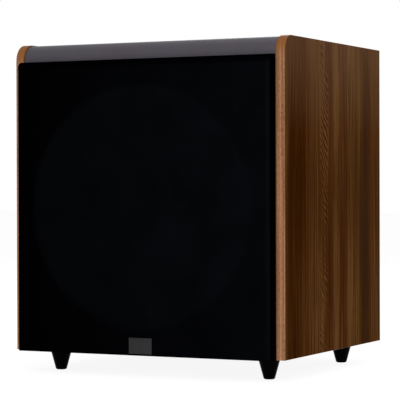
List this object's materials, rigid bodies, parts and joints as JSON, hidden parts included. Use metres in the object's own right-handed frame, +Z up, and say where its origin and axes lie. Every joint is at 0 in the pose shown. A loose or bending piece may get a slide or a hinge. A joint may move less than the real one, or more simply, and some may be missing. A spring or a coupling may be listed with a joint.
{
  "type": "subwoofer",
  "caption": "Free-standing powered subwoofer: walnut-sided box with a grey rolled-over top, a pull-off black cloth grille, cone feet and a rear plate amplifier.",
  "frame": {"origin": "on the floor, under the middle of the whole outline", "axes": "+Z up, the grille faces -Y, +X to the right seen from the front"},
  "size_m": [0.462, 0.445, 0.515],
  "materials": {
    "walnut": "satin woodgrain foil",
    "satin_grey": "satin grey foil over board",
    "black_board": "black painted board",
    "raw_board": "raw board",
    "wadding": "soft white wadding",
    "foot_plastic": "satin black plastic",
    "screw_steel": "black zinc plated",
    "soft_rubber": "matt black rubber",
    "grille_plastic": "matt black moulding",
    "grille_cloth": "black knitted speaker cloth",
    "basket_paint": "black painted casting",
    "motor_steel": "zinc plated",
    "ferrite": "matt dark ferrite",
    "cone_paper": "coated pulp",
    "former_card": "amber former",
    "copper_wire": "enamelled wire",
    "spider_cloth": "resin-stiffened cloth",
    "phenolic": "brown laminate",
    "plate_paint": "fine-textured black powder coat",
    "sink_black": "black anodised extrusion",
    "board_green": "solder resist",
    "can_sleeve": "shrink sleeve",
    "pot_case": "plated case",
    "winding_tape": "amber tape over the winding",
    "lead_sleeve": "insulated wire",
    "knob_plastic": "satin black plastic",
    "black_plastic": "black moulding",
    "white_plastic": "white moulding",
    "lamp_lens": "tinted lens",
    "gold_plate": "gold plated",
    "collar_plastic": "coloured collar",
    "red_lever": "red moulding",
    "black_lever": "black moulding",
    "pin_brass": "nickel plated brass",
    "fuse_glass": "clear tube with metal ends"
  },
  "bodies": {
    "cabinet": {"side_panel_left": "walnut", "side_panel_right": "walnut", "top_cap": "satin_grey", "bottom_panel": "black_board", "back_panel": "black_board", "front_baffle": "black_board", "window_brace": "raw_board", "wadding_pads": "wadding", "foot_front_left": "foot_plastic", "foot_front_right": "foot_plastic", "foot_rear_left": "foot_plastic", "foot_rear_right": "foot_plastic", "foot_screws": "screw_steel", "grille_cups": "soft_rubber", "basket": "basket_paint", "woofer_gasket": "soft_rubber", "front_plate": "motor_steel", "ferrite_magnet": "ferrite", "pole_piece": "motor_steel", "woofer_terminals": "phenolic", "woofer_screws": "screw_steel", "amp_plate": "plate_paint", "amp_gasket": "soft_rubber", "heat_sink": "sink_black", "amp_screws": "screw_steel", "amp_board": "board_green", "filter_capacitors": "can_sleeve", "control_board": "board_green", "control_pots": "pot_case", "transformer": "winding_tape", "woofer_leads": "lead_sleeve", "phase_switch": "black_plastic", "status_led": "lamp_lens", "line_jacks": "gold_plate", "jack_collars": "collar_plastic", "terminal_block": "black_plastic", "power_switch": "black_plastic", "mains_inlet": "black_plastic", "mains_pins": "pin_brass"},
    "grille": {"grille_frame": "grille_plastic", "grille_cloth": "grille_cloth", "grille_pegs": "grille_plastic"},
    "diaphragm": {"cone": "cone_paper", "dust_cap": "cone_paper", "coil_former": "former_card", "voice_coil": "copper_wire", "surround": "soft_rubber", "spider": "spider_cloth"},
    "level_control": {"level_shaft": "pot_case", "level_knob": "knob_plastic"},
    "crossover_control": {"crossover_shaft": "pot_case", "crossover_knob": "knob_plastic"},
    "phase_slider": {"phase_slider": "white_plastic"},
    "power_rocker": {"power_rocker": "black_plastic"},
    "fuse_drawer": {"fuse_drawer": "black_plastic", "fuse": "fuse_glass"},
    "terminal_lever_1": {"terminal_lever_1": "black_lever"},
    "terminal_lever_2": {"terminal_lever_2": "red_lever"},
    "terminal_lever_3": {"terminal_lever_3": "black_lever"},
    "terminal_lever_4": {"terminal_lever_4": "red_lever"}
  },
  "joints": [
    {"name": "grille_pull", "type": "slide", "parent": "cabinet", "child": "grille", "axis": [0, -1, 0], "range_m": [0, 0.1]},
    {"name": "cone_stroke", "type": "slide", "parent": "cabinet", "child": "diaphragm", "axis": [0, -1, 0], "range_m": [-0.008, 0.008], "stiffness_N_per_m": 3700, "deforming": ["surround", "spider"]},
    {"name": "level_turn", "type": "hinge", "parent": "cabinet", "child": "level_control", "pos_m": [0.076, 0.1975, 0.283], "axis": [0, 1, 0], "range_deg": [-150, 150]},
    {"name": "crossover_turn", "type": "hinge", "parent": "cabinet", "child": "crossover_control", "pos_m": [0.026, 0.1975, 0.283], "axis": [0, 1, 0], "range_deg": [-150, 150]},
    {"name": "phase_slide", "type": "slide", "parent": "cabinet", "child": "phase_slider", "axis": [-1, 0, 0], "range_m": [0, 0.004]},
    {"name": "power_tip", "type": "hinge", "parent": "cabinet", "child": "power_rocker", "pos_m": [0.07, 0.1975, 0.161], "axis": [-1, 0, 0], "range_deg": [0, 16]},
    {"name": "fuse_drawer_slide", "type": "slide", "parent": "cabinet", "child": "fuse_drawer", "axis": [0, 1, 0], "range_m": [0, 0.016]},
    {"name": "lever_1_press", "type": "hinge", "parent": "cabinet", "child": "terminal_lever_1", "pos_m": [0.006, 0.2089, 0.2389], "axis": [-1, 0, 0], "range_deg": [0, 18], "stiffness_Nm_per_rad": 0.25, "springref_deg": -8.59},
    {"name": "lever_2_press", "type": "hinge", "parent": "cabinet", "child": "terminal_lever_2", "pos_m": [-0.014, 0.2089, 0.2389], "axis": [-1, 0, 0], "range_deg": [0, 18], "stiffness_Nm_per_rad": 0.25, "springref_deg": -8.59},
    {"name": "lever_3_press", "type": "hinge", "parent": "cabinet", "child": "terminal_lever_3", "pos_m": [-0.034, 0.2089, 0.2389], "axis": [-1, 0, 0], "range_deg": [0, 18], "stiffness_Nm_per_rad": 0.25, "springref_deg": -8.59},
    {"name": "lever_4_press", "type": "hinge", "parent": "cabinet", "child": "terminal_lever_4", "pos_m": [-0.054, 0.2089, 0.2389], "axis": [-1, 0, 0], "range_deg": [0, 18], "stiffness_Nm_per_rad": 0.25, "springref_deg": -8.59}
  ]
}
